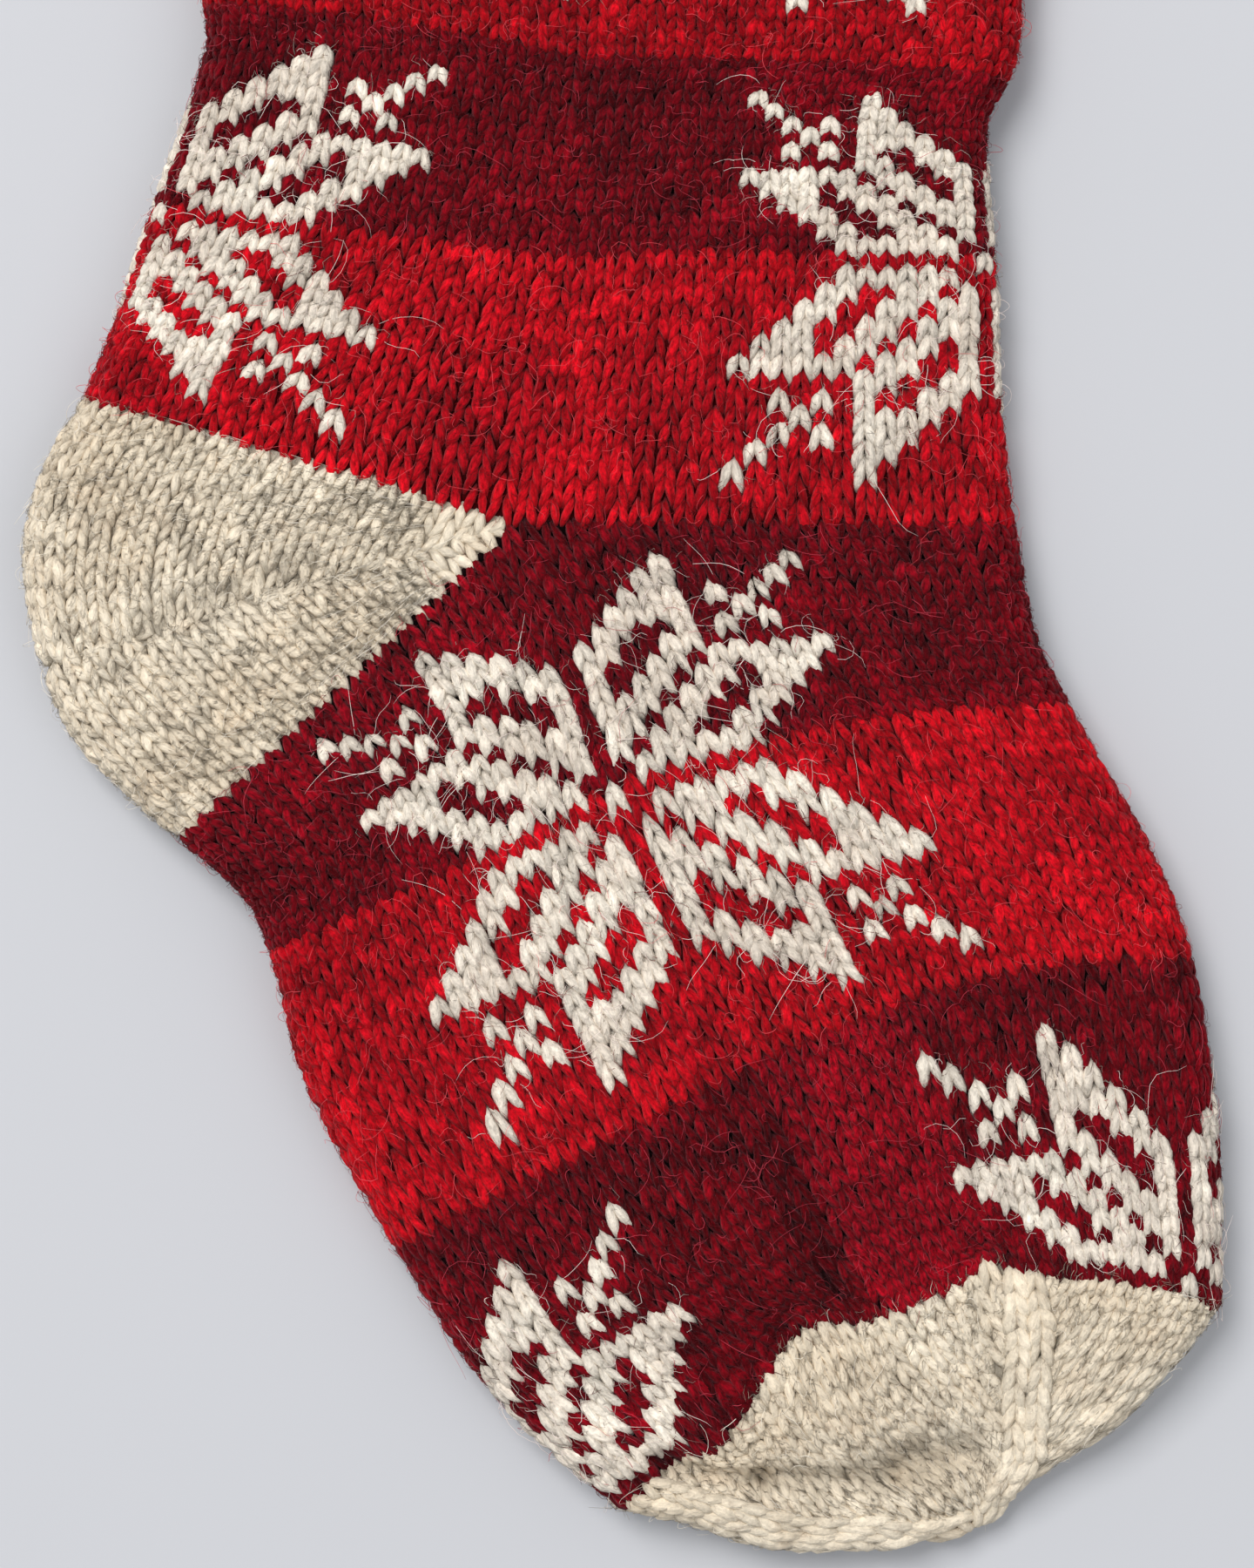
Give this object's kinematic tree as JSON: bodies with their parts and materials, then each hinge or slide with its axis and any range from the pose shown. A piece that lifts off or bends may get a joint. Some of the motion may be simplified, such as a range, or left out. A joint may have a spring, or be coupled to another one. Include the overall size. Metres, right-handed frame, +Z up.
{
  "type": "knitted Christmas stocking",
  "caption": "Stranded-knit wool stocking lying flat, with a ribbed cuff, turned heel, gathered toe, inlaid stars and a hanging loop that swings at the rim.",
  "frame": {"origin": "middle of the footprint of the stocking as it lies flat, on the surface it lies on", "axes": "+X from the heel side to the instep side, +Y up the leg towards the mouth, +Z up off the surface"},
  "size_m": [0.2746, 0.5864, 0.019],
  "materials": {
    "wool_cream": "heathered oatmeal wool, matte and fuzzy",
    "wool_red": "bright red wool, matte and fuzzy",
    "wool_dark_red": "dark crimson wool, matte and fuzzy",
    "wool_star": "off-white wool of the inlaid stars, matte and fuzzy",
    "wool_loop": "bright red wool cord, matte and fuzzy"
  },
  "bodies": {
    "stocking": {"cast_on_edge": "wool_cream", "cuff_rib": "wool_cream", "leg_red_upper": "wool_red", "leg_dark_upper": "wool_dark_red", "leg_red_middle": "wool_red", "leg_dark_lower": "wool_dark_red", "leg_red_ankle": "wool_red", "heel_turn": "wool_cream", "foot_dark_instep": "wool_dark_red", "foot_red": "wool_red", "foot_dark_toe": "wool_dark_red", "toe_cap": "wool_cream", "toe_gather": "wool_cream", "star_leg_front": "wool_star", "star_leg_back": "wool_star", "star_ankle_heel_side": "wool_star", "star_ankle_instep_side": "wool_star", "star_foot_front": "wool_star", "star_foot_sole": "wool_star", "star_toe_sole_side": "wool_star", "star_toe_instep_side": "wool_star", "loop_tack": "wool_loop"},
    "loop": {"hanging_loop": "wool_loop"}
  },
  "joints": [
    {"name": "loop_swing", "type": "hinge", "parent": "stocking", "child": "loop", "pos_m": [-0.07443, 0.24123, 0.0044], "axis": [1, 0, 0], "range_deg": [0, 90]}
  ]
}
